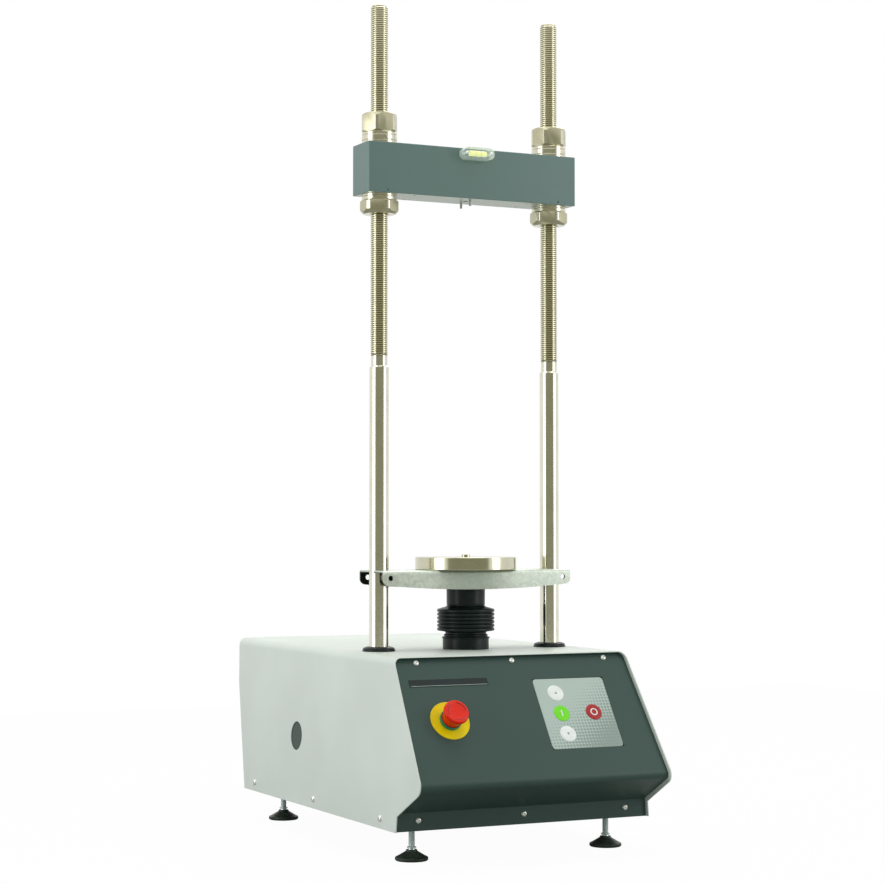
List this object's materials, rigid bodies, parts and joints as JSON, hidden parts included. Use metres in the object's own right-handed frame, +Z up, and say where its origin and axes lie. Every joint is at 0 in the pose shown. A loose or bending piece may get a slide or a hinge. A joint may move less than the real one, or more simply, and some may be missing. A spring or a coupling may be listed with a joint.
{
  "type": "marshall compression tester",
  "caption": "Bench load frame with threaded columns, adjustable crossbeam, screw-driven ram and platen on a cased drive, for crushing asphalt cylinders.",
  "frame": {"origin": "on the floor under the feet, below the centre of the machine's bounding box", "axes": "+Z up the columns, -Y towards the operator and the sloping control panel, +X to the operator's right"},
  "size_m": [0.455, 0.7928, 1.372],
  "materials": {
    "cover_paint": "fine textured powder coat",
    "panel_paint": "fine textured powder coat",
    "beam_paint": "fine textured powder coat",
    "black_steel": "satin paint",
    "motor_paint": "satin paint",
    "zinc_steel": "zinc plated sheet",
    "galvanised": "galvanised, dull",
    "polished_steel": "nickel plated, polished",
    "ground_steel": "ground",
    "screw_steel": "satin",
    "cast_iron": "machined casting",
    "bronze": "machined",
    "aluminium": "machined",
    "plate_aluminium": "blank plate, dark print with a light lower edge",
    "rubber": "matt moulded",
    "black_plastic": "moulded",
    "yellow_plastic": "moulded",
    "green_plastic": "moulded",
    "red_plastic": "moulded",
    "overlay_film": "printed polyester film",
    "key_film": "embossed film, grey sign",
    "key_green": "embossed film, white sign",
    "key_red": "embossed film, white sign",
    "circuit_board": "coated laminate",
    "clear_acrylic": "clear, polished",
    "vial_fluid": "yellow-green fluid in clear tube"
  },
  "bodies": {
    "machine": {"cover": "cover_paint", "side_hole_plug": "black_plastic", "front_panel": "panel_paint", "rear_panel": "panel_paint", "panel_rails": "zinc_steel", "base_tray": "zinc_steel", "lower_crosshead": "black_steel", "frame_uprights": "black_steel", "left_column": "polished_steel", "right_column": "polished_steel", "column_base_nuts": "zinc_steel", "column_seals": "rubber", "ram_bush": "bronze", "bellows": "rubber", "bellows_base_collar": "rubber", "jack_housing": "cast_iron", "nut_bearings": "ground_steel", "drive_belt": "rubber", "motor_bracket": "zinc_steel", "motor_gearbox": "aluminium", "drive_motor": "motor_paint", "stop_disc": "yellow_plastic", "stop_body": "green_plastic", "stop_contacts": "black_plastic", "keypad_overlay": "overlay_film", "keypad_board": "circuit_board", "name_plate": "plate_aluminium", "power_inlet": "black_plastic", "motor_drive": "aluminium", "power_supply": "zinc_steel", "control_board": "circuit_board", "case_screws": "screw_steel"},
    "drive_nut": {"drive_nut": "bronze", "nut_pulley": "aluminium"},
    "ram": {"ram_screw": "ground_steel", "platen": "polished_steel", "guide_bracket": "galvanised", "bellows_top_collar": "black_plastic"},
    "motor_pulley": {"motor_pulley": "aluminium"},
    "crossbeam": {"crossbeam": "beam_paint", "locating_pins": "polished_steel", "beam_screws": "screw_steel", "level_block": "clear_acrylic", "level_vial": "vial_fluid"},
    "upper_left_nut": {"upper_left_nut": "polished_steel"},
    "upper_right_nut": {"upper_right_nut": "polished_steel"},
    "lower_left_nut": {"lower_left_nut": "polished_steel"},
    "lower_right_nut": {"lower_right_nut": "polished_steel"},
    "stop_stem": {"stop_stem": "black_plastic"},
    "stop_head": {"stop_head": "red_plastic"},
    "switch_rocker": {"switch_rocker": "black_plastic"},
    "key_up": {"key_up": "key_film"},
    "key_start": {"key_start": "key_green"},
    "key_down": {"key_down": "key_film"},
    "key_stop": {"key_stop": "key_red"},
    "foot_front_left": {"foot_front_left": "rubber"},
    "foot_front_right": {"foot_front_right": "rubber"},
    "foot_rear_left": {"foot_rear_left": "rubber"},
    "foot_rear_right": {"foot_rear_right": "rubber"}
  },
  "joints": [
    {"name": "drive_nut_turn", "type": "hinge", "parent": "machine", "child": "drive_nut", "pos_m": [0, -0.10957, 0.15], "axis": [0, 0, 1], "range_deg": [0, 7200]},
    {"name": "ram_slide", "type": "slide", "parent": "machine", "child": "ram", "axis": [0, 0, 1], "range_m": [0, 0.1], "deforming": ["bellows"]},
    {"name": "motor_pulley_turn", "type": "hinge", "parent": "machine", "child": "motor_pulley", "pos_m": [0, 0.06043, 0.15], "axis": [0, 0, 1], "range_deg": [0, 18000]},
    {"name": "upper_left_nut_turn", "type": "hinge", "parent": "crossbeam", "child": "upper_left_nut", "pos_m": [-0.158, -0.10957, 1.17], "axis": [0, 0, 1], "range_deg": [-23657.14, 17485.71]},
    {"name": "crossbeam_slide", "type": "slide", "parent": "machine", "child": "crossbeam", "axis": [0, 0, 1], "range_m": [-0.23, 0.17]},
    {"name": "upper_right_nut_turn", "type": "hinge", "parent": "crossbeam", "child": "upper_right_nut", "pos_m": [0.158, -0.10957, 1.17], "axis": [0, 0, 1], "range_deg": [-23657.14, 17485.71]},
    {"name": "lower_left_nut_turn", "type": "hinge", "parent": "crossbeam", "child": "lower_left_nut", "pos_m": [-0.158, -0.10957, 1.045], "axis": [0, 0, 1], "range_deg": [-23657.14, 17485.71]},
    {"name": "lower_right_nut_turn", "type": "hinge", "parent": "crossbeam", "child": "lower_right_nut", "pos_m": [0.158, -0.10957, 1.045], "axis": [0, 0, 1], "range_deg": [-23657.14, 17485.71]},
    {"name": "stop_press", "type": "slide", "parent": "machine", "child": "stop_stem", "axis": [0, 0.8287, -0.5596], "range_m": [0, 0.004]},
    {"name": "stop_release_turn", "type": "hinge", "parent": "stop_stem", "child": "stop_head", "pos_m": [-0.1377, -0.32986, 0.21854], "axis": [0, -0.8287, 0.5596], "range_deg": [0, 30], "stiffness_Nm_per_rad": 0.05},
    {"name": "key_up_press", "type": "slide", "parent": "machine", "child": "key_up", "axis": [0, 0.8287, -0.5596], "range_m": [0, 0.0005], "stiffness_N_per_m": 800},
    {"name": "key_start_press", "type": "slide", "parent": "machine", "child": "key_start", "axis": [0, 0.8287, -0.5596], "range_m": [0, 0.0005], "stiffness_N_per_m": 800},
    {"name": "key_down_press", "type": "slide", "parent": "machine", "child": "key_down", "axis": [0, 0.8287, -0.5596], "range_m": [0, 0.0005], "stiffness_N_per_m": 800},
    {"name": "key_stop_press", "type": "slide", "parent": "machine", "child": "key_stop", "axis": [0, 0.8287, -0.5596], "range_m": [0, 0.0005], "stiffness_N_per_m": 800},
    {"name": "power_switch_rock", "type": "hinge", "parent": "machine", "child": "switch_rocker", "pos_m": [0.13, 0.34285, 0.13859], "axis": [-1, 0, 0], "range_deg": [0, 16]},
    {"name": "foot_front_left_height", "type": "slide", "parent": "machine", "child": "foot_front_left", "axis": [0, 0, 1], "range_m": [-0.02, 0.02]},
    {"name": "foot_front_right_height", "type": "slide", "parent": "machine", "child": "foot_front_right", "axis": [0, 0, 1], "range_m": [-0.02, 0.02]},
    {"name": "foot_rear_left_height", "type": "slide", "parent": "machine", "child": "foot_rear_left", "axis": [0, 0, 1], "range_m": [-0.02, 0.02]},
    {"name": "foot_rear_right_height", "type": "slide", "parent": "machine", "child": "foot_rear_right", "axis": [0, 0, 1], "range_m": [-0.02, 0.02]}
  ],
  "couplings": [
    {"joint": "ram_slide", "follows": "drive_nut_turn", "m_per_rad": 0.00079577},
    {"joint": "motor_pulley_turn", "follows": "drive_nut_turn", "ratio": 2.5},
    {"joint": "crossbeam_slide", "follows": "upper_left_nut_turn", "m_per_rad": 0.00055704},
    {"joint": "upper_right_nut_turn", "follows": "upper_left_nut_turn", "ratio": 1},
    {"joint": "lower_left_nut_turn", "follows": "upper_left_nut_turn", "ratio": 1},
    {"joint": "lower_right_nut_turn", "follows": "upper_left_nut_turn", "ratio": 1}
  ]
}
